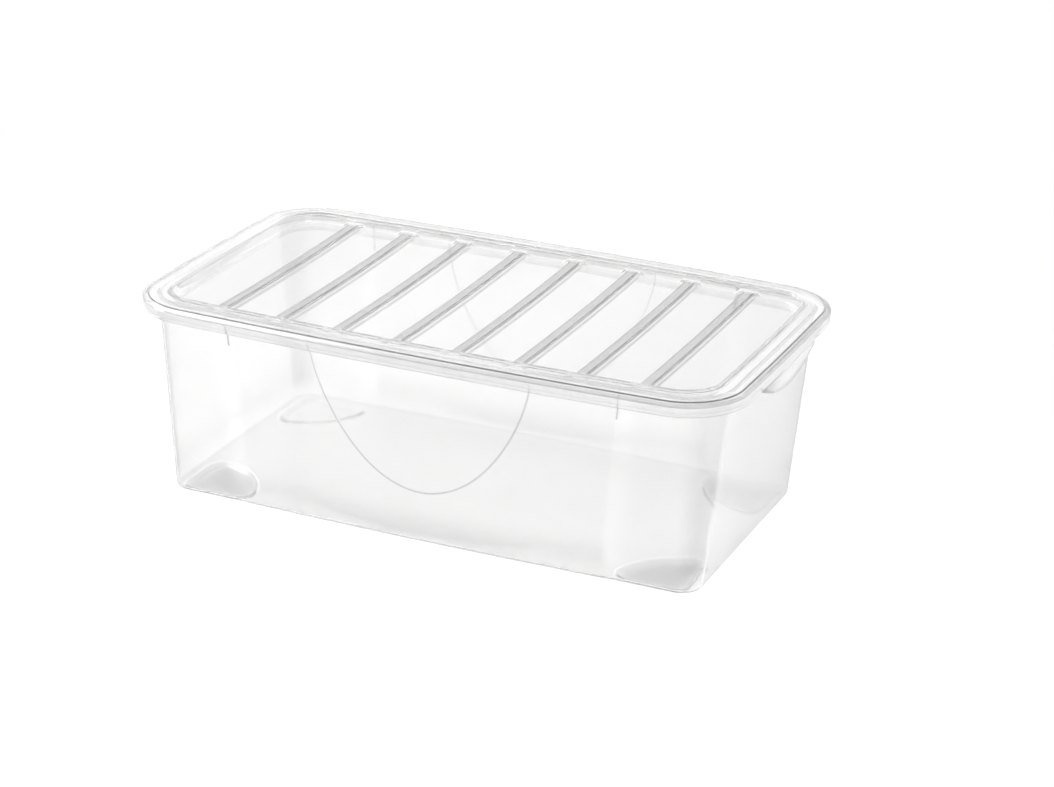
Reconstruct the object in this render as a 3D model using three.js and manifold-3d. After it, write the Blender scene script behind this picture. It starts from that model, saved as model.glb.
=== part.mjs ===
// Clear storage box: a tub and the lid that sits over its rim.
// Millimetres, +Z up, origin on the floor under the middle of the box.

import * as THREE from 'three';
import { mergeVertices } from 'three/addons/utils/BufferGeometryUtils.js';
import Module from 'manifold-3d';

// Overall size, measured over the lid.
const length = 600;
const width = 350;
const height = 201;

// Plan shape of the lid: round corners and gently bowed sides.
const cornerRadius = 62.5;
const longSideRadius = 5800;
const shortSideRadius = 5800;

// Lid section.
const lidWall = 2;
const skirtHeight = 12;
const edgeRound = 2.5;
const edgeBand = 5.5;
const edgeStep = 0.8;
const edgeStepRun = 0.4;
const borderWidth = 28;
const borderRise = 3.9;
const crestRound = 0.9;
const recessDepth = 9.7;
const recessDraft = 1.5;

// Raised bars across the recessed field.
const barCount = 8;
const barPitch = 60;
const barFootWidth = 16;
const barTopWidth = 7;
const barHeight = 4;
const fieldSag = 2.5;
const sagFlatness = 6;

// Tub.
const lidClearance = 0.4;
const tubWall = 2;
const floorThickness = 2;
const endOverhang = 16.3;
const sideOverhang = 21.8;
const endDraft = THREE.MathUtils.degToRad(5.1);
const sideDraft = THREE.MathUtils.degToRad(4.25);
const topCornerRadius = 41;
const bottomCornerRadius = 21;
const bottomRound = 4;
const rimShelf = 12;
const lipHeight = 7;
const rimTurn = 1;

// Corner columns of the long walls, set back behind the bowed middle.
const columnWidth = 91;
const creaseStrip = 16;
const columnSetback = 1.2;
const middleBow = 2.8;

// Half-moon step on each long wall.
const moonHalfWidth = 110.5;
const moonDepth = 131.5;
const moonFullness = 1.44;
const moonStep = 1;
const moonStepRun = 1.6;

// Stacking ribs under the rim, beside the creases.
const ribThickness = 1.6;
const ribDrop = 19;
const ribReachTop = 8;
const ribReachBottom = 3;

// Hand grip: the rim lip runs deeper in the middle of each short end.
const gripHalfWidth = 75;
const gripDepth = 18;
const gripThickness = 2;
const gripRelief = 0.2;

// Feet: quarter-round pads in the corners of the floor.
const footHeight = 3;
const footRadius = 76;
const footInnerCorner = 20;
const footOuterCorner = 14;
const footTaper = 1.2;
const footWall = 2;
const footFromEnd = 9;
const footFromColumn = 3;

// Levels that follow from the sizes above.
const edgeTop = height - borderRise;
const skirtBottom = edgeTop - skirtHeight;
const recessFloor = height - recessDepth;
const recessInset = borderWidth + recessDraft;
const borderSlope = borderRise / (borderWidth - crestRound - edgeRound);
const floorTop = footHeight + floorThickness;
const lipInset = lidWall + lidClearance;
const roundMiddle = 1 - Math.SQRT1_2;

const wasm = await Module();
wasm.setup();

// Upper right quarter of a plan outline, from the short side's middle round to the long side's.
function borderQuarter(halfLength, halfWidth, radius, inset) {
  const longRadius = longSideRadius - inset;
  const shortRadius = shortSideRadius - inset;
  const longCentre = new THREE.Vector2(0, halfWidth - longRadius);
  const shortCentre = new THREE.Vector2(halfLength - shortRadius, 0);
  const across = shortCentre.clone().sub(longCentre);
  const apart = across.length();
  const longReach = longRadius - radius;
  const shortReach = shortRadius - radius;
  const along = (longReach ** 2 - shortReach ** 2 + apart ** 2) / (2 * apart);
  const aside = Math.sqrt(longReach ** 2 - along ** 2);
  across.divideScalar(apart);
  const centre = new THREE.Vector2(
    longCentre.x + across.x * along + across.y * aside,
    longCentre.y + across.y * along - across.x * aside,
  );
  const startAngle = Math.atan2(centre.y, centre.x - shortCentre.x);
  const endAngle = Math.atan2(centre.y - longCentre.y, centre.x);
  const points = [new THREE.Vector2(halfLength, 0)];
  points.push(...cornerArc(centre, radius, startAngle, endAngle));
  for (const x of creaseStops(halfLength)) {
    points.push(new THREE.Vector2(x, longCentre.y + Math.sqrt(longRadius ** 2 - x ** 2)));
  }
  return points;
}

// The same quarter of a tub wall: flat end and column, bowed middle between the creases.
function wallQuarter(halfLength, halfWidth, radius) {
  const column = halfWidth - middleBow - columnSetback;
  const crease = halfLength - columnWidth;
  const centre = new THREE.Vector2(halfLength - radius, column - radius);
  const points = [new THREE.Vector2(halfLength, 0)];
  points.push(...cornerArc(centre, radius, 0, Math.PI / 2));
  for (const x of creaseStops(halfLength)) {
    const bowed = halfWidth - middleBow * (x / crease) ** 2;
    points.push(new THREE.Vector2(x, x > crease ? column : bowed));
  }
  return points;
}

function cornerArc(centre, radius, startAngle, endAngle) {
  const points = [];
  const cornerSteps = 8;
  for (let step = 0; step <= cornerSteps; step += 1) {
    const angle = startAngle + ((endAngle - startAngle) * step) / cornerSteps;
    points.push(new THREE.Vector2(
      centre.x + radius * Math.cos(angle),
      centre.y + radius * Math.sin(angle),
    ));
  }
  return points;
}

function creaseStops(halfLength) {
  const crease = halfLength - columnWidth;
  return [crease + creaseStrip, crease, crease * 0.67, crease * 0.33, 0];
}

// Whole plan outline at one level, counter-clockwise, from its first quarter.
function ring(quarter, z) {
  const last = quarter.length - 1;
  const points = [];
  quarter.slice(0, last).forEach((p) => points.push([p.x, p.y, z]));
  quarter.slice(1).reverse().forEach((p) => points.push([-p.x, p.y, z]));
  quarter.slice(0, last).forEach((p) => points.push([-p.x, -p.y, z]));
  quarter.slice(1).reverse().forEach((p) => points.push([p.x, -p.y, z]));
  return points;
}

// Outline that runs inside the lid's outer edge at a constant distance.
function insetRing(inset, z) {
  const quarter = borderQuarter(
    length / 2 - inset,
    width / 2 - inset,
    cornerRadius - inset,
    inset,
  );
  return ring(quarter, z);
}

// Half sizes and corner radius of the tub wall's outer face at a level.
function wallSize(z, extra = 0) {
  const drop = skirtBottom - z;
  const share = (z - footHeight) / (skirtBottom - footHeight);
  return {
    halfLength: length / 2 - endOverhang - drop * Math.tan(endDraft) + extra,
    halfWidth: width / 2 - sideOverhang - drop * Math.tan(sideDraft) + extra,
    radius: THREE.MathUtils.lerp(bottomCornerRadius, topCornerRadius, share) + extra,
  };
}

function wallRing(z, extra = 0, level = z) {
  const size = wallSize(z, extra);
  return ring(wallQuarter(size.halfLength, size.halfWidth, size.radius), level);
}

// How far the crease line of a long wall lies from the middle plane.
function creaseY(z) {
  return wallSize(z).halfWidth - middleBow;
}

function middleOf(points) {
  const sum = points.reduce((total, p) => total.map((value, i) => value + p[i]), [0, 0, 0]);
  return sum.map((value) => value / points.length);
}

// Skin laid over a stack of rings. The ends are closed by fans, or the last ring joins the first.
function loft(rings, closedLoop) {
  const count = rings[0].length;
  const positions = rings.flat(2);
  const index = [];
  const links = closedLoop ? rings.length : rings.length - 1;
  for (let level = 0; level < links; level += 1) {
    const low = level * count;
    const high = ((level + 1) % rings.length) * count;
    for (let i = 0; i < count; i += 1) {
      const next = (i + 1) % count;
      index.push(low + i, low + next, high + next);
      index.push(low + i, high + next, high + i);
    }
  }
  if (!closedLoop) {
    const topStart = (rings.length - 1) * count;
    const bottomCentre = positions.length / 3;
    positions.push(...middleOf(rings[0]));
    const topCentre = positions.length / 3;
    positions.push(...middleOf(rings[rings.length - 1]));
    for (let i = 0; i < count; i += 1) {
      const next = (i + 1) % count;
      index.push(bottomCentre, next, i);
      index.push(topCentre, topStart + i, topStart + next);
    }
  }
  const geometry = new THREE.BufferGeometry();
  geometry.setAttribute('position', new THREE.Float32BufferAttribute(positions, 3));
  geometry.setIndex(index);
  return geometry;
}

function toSolid(geometry) {
  const bare = geometry.clone();
  bare.deleteAttribute('normal');
  bare.deleteAttribute('uv');
  const merged = mergeVertices(bare, 1e-4);
  return new wasm.Manifold(new wasm.Mesh({
    numProp: 3,
    vertProperties: new Float32Array(merged.attributes.position.array),
    triVerts: new Uint32Array(merged.index.array),
  }));
}

function toGeometry(solid) {
  const mesh = solid.getMesh();
  const geometry = new THREE.BufferGeometry();
  geometry.setAttribute('position', new THREE.Float32BufferAttribute(mesh.vertProperties, 3));
  geometry.setIndex(Array.from(mesh.triVerts));
  geometry.computeVertexNormals();
  return geometry;
}

const axisX = new THREE.Vector3(1, 0, 0);
const axisY = new THREE.Vector3(0, 1, 0);
const axisZ = new THREE.Vector3(0, 0, 1);

// Flat shape drawn in width and height, given a thickness along the length.
function slabAcrossLength(shape, from, thickness) {
  const geometry = new THREE.ExtrudeGeometry(shape, { depth: thickness, bevelEnabled: false });
  geometry.applyMatrix4(new THREE.Matrix4().makeBasis(axisY, axisZ, axisX));
  geometry.translate(from, 0, 0);
  return toSolid(geometry);
}

// Flat shape drawn in length and height, running from the middle plane out past the front wall.
function slabToFront(shape) {
  const geometry = new THREE.ExtrudeGeometry(shape, { depth: width, bevelEnabled: false });
  geometry.applyMatrix4(new THREE.Matrix4().makeBasis(axisX, axisZ, axisY.clone().negate()));
  return toSolid(geometry);
}

// Lid: edge, border and recess wall as one swept section.
const lidSection = [
  [0, skirtBottom],
  [0, edgeTop - edgeRound],
  [edgeRound * roundMiddle, edgeTop - edgeRound * roundMiddle],
  [edgeRound, edgeTop],
  [edgeBand, edgeTop],
  [edgeBand + edgeStepRun, edgeTop + edgeStep],
  [borderWidth - crestRound, height],
  [borderWidth, height - crestRound],
  [recessInset, recessFloor - lidWall / 2],
  [recessInset - lidWall, recessFloor - lidWall / 2],
  [borderWidth - lidWall, height - lidWall - borderSlope * (lidWall - crestRound)],
  [lidWall, edgeTop - lidWall - borderSlope * (edgeRound - lidWall)],
  [lidWall, skirtBottom],
];
const lidFrame = toSolid(loft(lidSection.map(([inset, z]) => insetRing(inset, z)), true));

// Lid: recessed field, slightly dished, with the raised bars pressed into it.
const fieldHalfLength = length / 2 - recessInset;
const fieldHalfWidth = width / 2 - recessInset;

function barLift(x) {
  const nearest = Math.round(x / barPitch + (barCount - 1) / 2);
  const bar = THREE.MathUtils.clamp(nearest, 0, barCount - 1);
  const off = Math.abs(x - (bar - (barCount - 1) / 2) * barPitch);
  const flank = (barFootWidth - barTopWidth) / 2;
  return barHeight * THREE.MathUtils.clamp((barFootWidth / 2 - off) / flank, 0, 1);
}

function fieldLevel(x, y) {
  const acrossWidth = Math.max(0, 1 - (y / fieldHalfWidth) ** 2);
  const acrossLength = Math.max(0, 1 - (x / fieldHalfLength) ** sagFlatness);
  return recessFloor - fieldSag * acrossWidth * acrossLength + barLift(x);
}

function fieldStops() {
  const nearEnd = fieldHalfLength * 0.92;
  const stops = [-length / 2, -fieldHalfLength, -nearEnd];
  for (let bar = 0; bar < barCount; bar += 1) {
    const centre = (bar - (barCount - 1) / 2) * barPitch;
    stops.push(centre - barFootWidth / 2, centre - barTopWidth / 2);
    stops.push(centre + barTopWidth / 2, centre + barFootWidth / 2);
  }
  stops.push(nearEnd, fieldHalfLength, length / 2);
  return [...new Set(stops)].sort((a, b) => a - b);
}

function fieldRows() {
  const rows = [0];
  [0.3, 0.6, 0.85, 1].forEach((share) => rows.push(fieldHalfWidth * share, -fieldHalfWidth * share));
  rows.push(width / 2, -width / 2);
  return rows.sort((a, b) => a - b);
}

function fieldPlate() {
  const columns = fieldStops();
  const rows = fieldRows();
  const positions = [];
  const index = [];
  for (const drop of [0, lidWall]) {
    for (const y of rows) {
      columns.forEach((x) => positions.push(x, y, fieldLevel(x, y) - drop));
    }
  }
  const across = columns.length;
  const under = across * rows.length;
  for (let row = 0; row < rows.length - 1; row += 1) {
    for (let column = 0; column < across - 1; column += 1) {
      const corner = row * across + column;
      const right = corner + 1;
      const back = corner + across;
      index.push(corner, right, back + 1, corner, back + 1, back);
      index.push(under + corner, under + back + 1, under + right);
      index.push(under + corner, under + back, under + back + 1);
    }
  }
  const edge = [];
  for (let column = 0; column < across - 1; column += 1) {
    edge.push(column);
  }
  for (let row = 0; row < rows.length - 1; row += 1) {
    edge.push(row * across + across - 1);
  }
  for (let column = across - 1; column > 0; column -= 1) {
    edge.push((rows.length - 1) * across + column);
  }
  for (let row = rows.length - 1; row > 0; row -= 1) {
    edge.push(row * across);
  }
  edge.forEach((here, i) => {
    const next = edge[(i + 1) % edge.length];
    index.push(under + here, under + next, next, under + here, next, here);
  });
  const geometry = new THREE.BufferGeometry();
  geometry.setAttribute('position', new THREE.Float32BufferAttribute(positions, 3));
  geometry.setIndex(index);
  return geometry;
}

const fieldInset = recessInset - lidWall * 0.6;
const fieldLimit = toSolid(loft([
  insetRing(fieldInset, recessFloor - fieldSag - lidWall * 2),
  insetRing(fieldInset, recessFloor + barHeight * 2),
], false));
const lidSolid = lidFrame.add(toSolid(fieldPlate()).intersect(fieldLimit));

// Tub: rim levels follow the underside of the lid's border.
function rimTop(inset) {
  return edgeTop - lidWall - lidClearance + borderSlope * (inset - edgeRound);
}

const lipBottom = rimTop(lipInset) - lipHeight;
const lipInner = lipInset + tubWall;
const wallTop = rimTop(rimShelf) - tubWall;

const tubOuter = toSolid(loft([
  wallRing(footHeight, -bottomRound),
  wallRing(footHeight, -bottomRound * roundMiddle, footHeight + bottomRound * roundMiddle),
  wallRing(footHeight + bottomRound),
  wallRing(wallTop),
  insetRing(rimShelf, wallTop),
  insetRing(lipInner, rimTop(lipInner) - tubWall),
  insetRing(lipInner, lipBottom),
  insetRing(lipInset, lipBottom),
  insetRing(lipInset, rimTop(lipInset) - rimTurn),
  insetRing(lipInset + rimTurn, rimTop(lipInset + rimTurn)),
  insetRing(rimShelf, rimTop(rimShelf)),
  wallRing(rimTop(rimShelf), -tubWall / 2),
], false));

const innerRound = bottomRound - floorThickness / 2;
const cavity = toSolid(loft([
  wallRing(floorTop, -tubWall - innerRound),
  wallRing(floorTop, -tubWall - innerRound * roundMiddle, floorTop + innerRound * roundMiddle),
  wallRing(floorTop + innerRound, -tubWall),
  wallRing(height, -tubWall),
], false));

// Half-moon outline hanging from the rim.
function moonShape(shrink) {
  const shape = new THREE.Shape();
  const steps = 14;
  const crowding = 1.2;
  const reach = moonDepth - shrink;
  const half = moonHalfWidth - shrink;
  const edge = [];
  for (let step = 0; step <= steps; step += 1) {
    const turn = (step / steps) * (Math.PI / 2);
    const drop = Math.sin(turn) ** crowding;
    edge.push([half * Math.sqrt(Math.max(0, 1 - drop ** moonFullness)), skirtBottom - reach * drop]);
  }
  shape.moveTo(-half, wallTop - tubWall);
  edge.forEach(([x, z]) => shape.lineTo(-x, z));
  edge.slice(0, -1).reverse().forEach(([x, z]) => shape.lineTo(x, z));
  shape.lineTo(half, wallTop - tubWall);
  shape.closePath();
  return shape;
}

function mirrored(solid) {
  return solid.add(solid.mirror([0, 1, 0]));
}

const wallSkin = toSolid(loft([wallRing(floorTop, moonStep), wallRing(wallTop, moonStep)], false));
const moonOuter = mirrored(slabToFront(moonShape(0)).intersect(wallSkin));
const hollowSkin = toSolid(loft([
  wallRing(floorTop, moonStep - tubWall),
  wallRing(wallTop, moonStep - tubWall),
], false));
const moonInner = mirrored(slabToFront(moonShape(moonStepRun)).intersect(hollowSkin));

// Stacking rib under the rim at a given place along the front wall.
function stackingRib(x) {
  const ribBottom = skirtBottom - ribDrop;
  const ribTop = wallTop + tubWall / 2;
  const root = tubWall / 2;
  const shape = new THREE.Shape();
  shape.moveTo(-creaseY(ribBottom) + root, ribBottom);
  shape.lineTo(-creaseY(ribTop) + root, ribTop);
  shape.lineTo(-creaseY(ribTop) - ribReachTop, ribTop);
  shape.lineTo(-creaseY(ribBottom) - ribReachBottom, ribBottom);
  shape.closePath();
  return slabAcrossLength(shape, x - ribThickness / 2, ribThickness);
}

const ribX = wallSize(skirtBottom).halfLength - columnWidth;
const ribs = mirrored(stackingRib(ribX).add(stackingRib(-ribX)));

// Grip plate: bowed lower edge under the rim lip at the right end.
function gripShape(top) {
  const shape = new THREE.Shape();
  const steps = 12;
  const edge = skirtBottom - lidClearance;
  shape.moveTo(-gripHalfWidth, edge);
  for (let step = 1; step <= steps; step += 1) {
    const share = (step / steps) * 2 - 1;
    shape.lineTo(share * gripHalfWidth, edge - gripDepth * (1 - share ** 2));
  }
  if (top > edge) {
    shape.lineTo(gripHalfWidth, top);
    shape.lineTo(-gripHalfWidth, top);
  }
  shape.closePath();
  return shape;
}

// Everything further in than a constant distance from the lid's outer edge, below the rim.
function insideOf(inset) {
  return toSolid(loft([insetRing(inset, floorTop), insetRing(inset, wallTop)], false));
}

const lipCatch = tubWall * 0.7;
const gripBack = slabAcrossLength(
  gripShape(lipBottom + lipCatch),
  length / 2 - lipInner + gripRelief,
  lipInner,
).intersect(insideOf(lipInset + gripRelief));
const gripFace = slabAcrossLength(
  gripShape(skirtBottom - lidClearance),
  length / 2 - lipInset - gripThickness / 2,
  lipInset + gripThickness,
).intersect(insideOf(gripRelief));
const gripRight = gripBack.add(gripFace);
const grips = gripRight.add(gripRight.mirror([1, 0, 0]));

// Foot outline in the back right corner: two straight sides along the walls and a round inner side.
const footX = wallSize(footHeight).halfLength - footFromEnd;
const footY = creaseY(footHeight) - columnSetback - footFromColumn;

function footRing(z, shrink) {
  const turn = footInnerCorner - shrink;
  const reach = footRadius - footInnerCorner;
  const along = Math.sqrt(reach ** 2 - footInnerCorner ** 2);
  const lean = Math.atan2(footInnerCorner, along);
  const wallCorner = new THREE.Vector2(footX, footY);
  const outerCorner = wallCorner.clone().subScalar(footOuterCorner);
  const sideCorner = wallCorner.clone().sub(new THREE.Vector2(along, footInnerCorner));
  const endCorner = wallCorner.clone().sub(new THREE.Vector2(footInnerCorner, along));
  const points = [
    ...cornerArc(outerCorner, footOuterCorner - shrink, 0, Math.PI / 2),
    ...cornerArc(sideCorner, turn, Math.PI / 2, Math.PI + lean),
    ...cornerArc(wallCorner, footRadius - shrink, Math.PI + lean, Math.PI * 1.5 - lean).slice(1, -1),
    ...cornerArc(endCorner, turn, Math.PI * 1.5 - lean, Math.PI * 2),
  ];
  return points.map((p) => [p.x, p.y, z]);
}

const foot = toSolid(loft([
  footRing(0, footTaper),
  footRing(footHeight + floorThickness / 2, 0),
], false));
const footHollow = toSolid(loft([
  footRing(footWall, footTaper + footWall),
  footRing(floorTop + floorThickness, footWall),
], false));

function inEachCorner(solid) {
  const both = mirrored(solid);
  return both.add(both.mirror([1, 0, 0]));
}

const tubShell = tubOuter.add(moonOuter).add(ribs).add(grips).add(inEachCorner(foot));
const tubSolid = tubShell.subtract(cavity.add(moonInner).add(inEachCorner(footHollow)));

function clearPlastic(name, colour, roughness) {
  return new THREE.MeshStandardMaterial({
    name,
    color: colour,
    roughness,
    metalness: 0,
    transparent: true,
    opacity: 0.35,
  });
}

const tub = new THREE.Mesh(toGeometry(tubSolid), clearPlastic('tub_plastic', 0xdfe3e4, 0.12));
tub.name = 'tub';
const lid = new THREE.Mesh(toGeometry(lidSolid), clearPlastic('lid_plastic', 0xe3e6e7, 0.1));
lid.name = 'lid';

const storageBox = new THREE.Group();
storageBox.name = 'storage_box';
storageBox.add(tub, lid);

export default storageBox;
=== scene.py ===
import math

import bmesh
import bpy
from mathutils import Matrix, Vector


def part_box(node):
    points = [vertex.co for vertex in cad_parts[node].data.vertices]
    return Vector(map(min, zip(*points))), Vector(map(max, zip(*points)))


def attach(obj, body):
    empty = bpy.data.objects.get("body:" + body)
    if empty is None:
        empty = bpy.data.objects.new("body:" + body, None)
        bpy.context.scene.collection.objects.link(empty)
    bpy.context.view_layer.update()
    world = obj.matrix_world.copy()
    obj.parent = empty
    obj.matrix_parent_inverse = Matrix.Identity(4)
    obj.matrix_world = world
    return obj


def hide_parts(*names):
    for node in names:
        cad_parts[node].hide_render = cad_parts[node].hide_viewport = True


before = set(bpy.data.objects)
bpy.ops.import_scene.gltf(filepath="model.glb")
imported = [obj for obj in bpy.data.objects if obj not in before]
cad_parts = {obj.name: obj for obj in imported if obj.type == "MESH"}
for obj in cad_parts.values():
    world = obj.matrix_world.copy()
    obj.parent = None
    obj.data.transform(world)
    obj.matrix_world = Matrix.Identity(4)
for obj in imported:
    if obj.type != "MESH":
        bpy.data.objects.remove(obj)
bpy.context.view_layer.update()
print("frame loaded")

mm = 0.001  # lengths below are millimetres until a mesh is finished
boxMargin = 0.01  # keeps the meshes a hair inside the solids' box
mergeDistance = 0.0005
lidLow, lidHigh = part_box("lid")
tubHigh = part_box("tub")[1]

# plan outline shared by the lid's edge and the tub's rim
plan = {
    "halfLength": lidHigh.x / mm - boxMargin,
    "halfWidth": lidHigh.y / mm - boxMargin,
    "cornerRadius": 62.5,
    "sideRadius": 5800,
    "columnWidth": 91,
    "creaseStrip": 16,
    "panelStart": 118,  # the tub's stations keep a fixed x up to here
    "tailStart": 226,  # and the lid's up to here
}


def mix(a, b, share):
    return a + (b - a) * share


def ease(value):
    value = min(1, max(0, value))
    return value * value * (3 - 2 * value)


def evenShares(count):
    return [i / count for i in range(1, count + 1)]


# shares from one side to the other, crowded towards both sides
def crowdedShares(half, crowding):
    reach = 2 * (math.exp(crowding) - 1)
    lead = [(math.exp(crowding * i / half) - 1) / reach for i in range(1, half + 1)]
    return lead + [1 - share for share in lead[-2::-1]] + [1]


# x of a station on a long side, whose crease and corner start are given
def sideX(kind, value, crease, cornerX):
    if kind == "panel":
        return mix(plan["panelStart"], crease, value)
    if kind == "strip":
        return crease + plan["creaseStrip"] * value
    if kind == "column":
        return mix(crease + plan["creaseStrip"], cornerX, value)
    if kind == "tail":
        return mix(plan["tailStart"], cornerX, value)
    return value


# point on the outline that runs inside the lid's outer edge at a constant distance
def borderPoint(kind, value, inset, creaseShift=0):
    sideRadius = plan["sideRadius"] - inset
    radius = plan["cornerRadius"] - inset
    halfLength = plan["halfLength"] - inset
    longCentre = Vector((0, plan["halfWidth"] - inset - sideRadius))
    shortCentre = Vector((halfLength - sideRadius, 0))
    across = shortCentre - longCentre
    middle = longCentre + across / 2
    aside = math.sqrt((sideRadius - radius) ** 2 - across.length_squared / 4)
    across.normalize()
    centre = middle + Vector((across.y, -across.x)) * aside
    startAngle = math.atan2(centre.y, centre.x - shortCentre.x)
    endAngle = math.atan2(centre.y - longCentre.y, centre.x)
    if kind == "end":
        y = (centre.y + radius * math.sin(startAngle)) * value
        return Vector((shortCentre.x + math.sqrt(sideRadius ** 2 - y ** 2), y))
    if kind == "arc":
        angle = mix(startAngle, endAngle, value)
        return centre + radius * Vector((math.cos(angle), math.sin(angle)))
    crease = halfLength - plan["columnWidth"] - creaseShift
    x = sideX(kind, value, crease, centre.x + radius * math.cos(endAngle))
    return Vector((x, longCentre.y + math.sqrt(sideRadius ** 2 - x ** 2)))


# stations of the whole outline, counter-clockwise, from those of its first quarter
def wholeLoop(quarter):
    back = list(reversed(quarter[1:]))
    loop = [(station, 1, 1) for station in quarter[:-1]]
    loop += [(station, -1, 1) for station in back]
    loop += [(station, -1, -1) for station in quarter[:-1]]
    loop += [(station, 1, -1) for station in back]
    return loop


def chainEdges(bm, verts, closed):
    following = verts[1:] + verts[:1] if closed else verts[1:]
    return [bm.edges.get(pair) for pair in zip(verts, following)]


# extrudes a chain of edges and returns the new verts in the chain's order
def extrudeChain(bm, verts, closed=False):
    made = bmesh.ops.extrude_edge_only(bm, edges=chainEdges(bm, verts, closed))
    fresh = [item for item in made["geom"] if isinstance(item, bmesh.types.BMVert)]
    byPlace = {tuple(vert.co): vert for vert in fresh}
    return [byPlace[tuple(vert.co)] for vert in verts]


# skin over a stack of outlines: each ring is a function from a station to a point
def stackRings(bm, loop, rings):
    def place(ring, station, signX, signY):
        x, y, z = ring(*station)
        return Vector((x * signX, y * signY, z))

    first = [bm.verts.new(place(rings[0], *spot)) for spot in loop]
    for pair in zip(first, first[1:] + first[:1]):
        bm.edges.new(pair)
    stack = [first]
    for ring in rings[1:]:
        stack.append(extrudeChain(bm, stack[-1], closed=True))
        for vert, spot in zip(stack[-1], loop):
            vert.co = place(ring, *spot)
    return stack


# quads across the inside of a ring, lifted to a level that depends on x and y
def fillRing(bm, ring, cornerIndex, rowShares, capShares, levelAt):
    quarter = len(ring) // 4
    wrapped = ring + ring
    front = wrapped[2 * quarter + cornerIndex:4 * quarter - cornerIndex + 1]
    back = wrapped[cornerIndex:2 * quarter - cornerIndex + 1][::-1]
    rightRail = wrapped[4 * quarter - cornerIndex:4 * quarter + cornerIndex + 1]
    leftRail = wrapped[2 * quarter - cornerIndex:2 * quarter + cornerIndex + 1][::-1]

    def sweep(chain, target, shares):
        starts = [vert.co.copy() for vert in chain]
        ends = [vert.co.copy() for vert in target]
        rows = [chain]
        for share in shares:
            chain = extrudeChain(bm, chain)
            for vert, a, b in zip(chain, starts, ends):
                vert.co = a.lerp(b, share)
                if share < 1:
                    vert.co.z = levelAt(vert.co.x, vert.co.y)
            rows.append(chain)
        return rows

    rows = sweep(front, back, rowShares)
    sweep([row[-1] for row in rows], rightRail, capShares)
    sweep([row[0] for row in rows], leftRail, capShares)


def finishMesh(bm, name, body, material):
    bmesh.ops.remove_doubles(bm, verts=bm.verts, dist=mergeDistance)
    bmesh.ops.dissolve_degenerate(bm, edges=bm.edges, dist=mergeDistance)
    bmesh.ops.recalc_face_normals(bm, faces=bm.faces)
    bmesh.ops.scale(bm, vec=(mm, mm, mm), verts=bm.verts)
    mesh = bpy.data.meshes.new(name)
    bm.to_mesh(mesh)
    bm.free()
    mesh.materials.append(material)
    mesh.shade_smooth()
    piece = bpy.data.objects.new(name, mesh)
    bpy.context.scene.collection.objects.link(piece)
    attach(piece, body)
    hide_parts(body)
    print(name, "has", len(mesh.polygons), "faces")


# materials
def addNode(tree, kind, **inputs):
    node = tree.nodes.new(kind)
    for key, value in inputs.items():
        node.inputs[key.replace("_", " ")].default_value = value
    return node


def mathNode(tree, operation, *values):
    node = tree.nodes.new("ShaderNodeMath")
    node.operation = operation
    for socket, value in zip(node.inputs, values):
        if isinstance(value, (int, float)):
            socket.default_value = value
        else:
            tree.links.new(value, socket)
    return node.outputs["Value"]


# a mask leads from the first colour to the second
def mixColour(tree, mask, first, second):
    node = tree.nodes.new("ShaderNodeMix")
    node.data_type = "RGBA"
    for name, value in (("Factor", mask), ("A", first), ("B", second)):
        if isinstance(value, tuple):
            node.inputs[name].default_value = value
        else:
            tree.links.new(value, node.inputs[name])
    return node.outputs["Result"]


def vertexMask(tree, name):
    node = tree.nodes.new("ShaderNodeAttribute")
    node.attribute_name = name
    return node.outputs["Fac"]


# fine moulding marks: cloudy tone, uneven gloss and a faint wave in the surface
markInputs = {"Cloud Scale": 9, "Grain Scale": 620, "Gloss Low": 0.02, "Gloss High": 0.06}
markOutputs = ("Tone", "Grain", "Roughness", "Height")
grainInWave = 0.06


def makeMouldingGroup():
    group = bpy.data.node_groups.new("mouldingMarks", "ShaderNodeTree")
    for name, value in markInputs.items():
        socket = group.interface.new_socket(name, in_out="INPUT", socket_type="NodeSocketFloat")
        socket.default_value = value
    for name in markOutputs:
        group.interface.new_socket(name, in_out="OUTPUT", socket_type="NodeSocketFloat")
    given = group.nodes.new("NodeGroupInput")
    result = group.nodes.new("NodeGroupOutput")
    place = group.nodes.new("ShaderNodeTexCoord")
    cloud = addNode(group, "ShaderNodeTexNoise", Detail=3, Roughness=0.55)
    grain = addNode(group, "ShaderNodeTexNoise", Detail=2, Roughness=0.6)
    gloss = group.nodes.new("ShaderNodeMapRange")
    links = group.links
    links.new(place.outputs["Object"], cloud.inputs["Vector"])
    links.new(place.outputs["Object"], grain.inputs["Vector"])
    links.new(given.outputs["Cloud Scale"], cloud.inputs["Scale"])
    links.new(given.outputs["Grain Scale"], grain.inputs["Scale"])
    links.new(grain.outputs["Fac"], gloss.inputs["Value"])
    links.new(given.outputs["Gloss Low"], gloss.inputs["To Min"])
    links.new(given.outputs["Gloss High"], gloss.inputs["To Max"])
    links.new(cloud.outputs["Fac"], result.inputs["Tone"])
    links.new(grain.outputs["Fac"], result.inputs["Grain"])
    links.new(gloss.outputs["Result"], result.inputs["Roughness"])
    height = mathNode(group, "MULTIPLY_ADD", grain.outputs["Fac"], grainInWave, cloud.outputs["Fac"])
    links.new(height, result.inputs["Height"])
    return group


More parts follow.
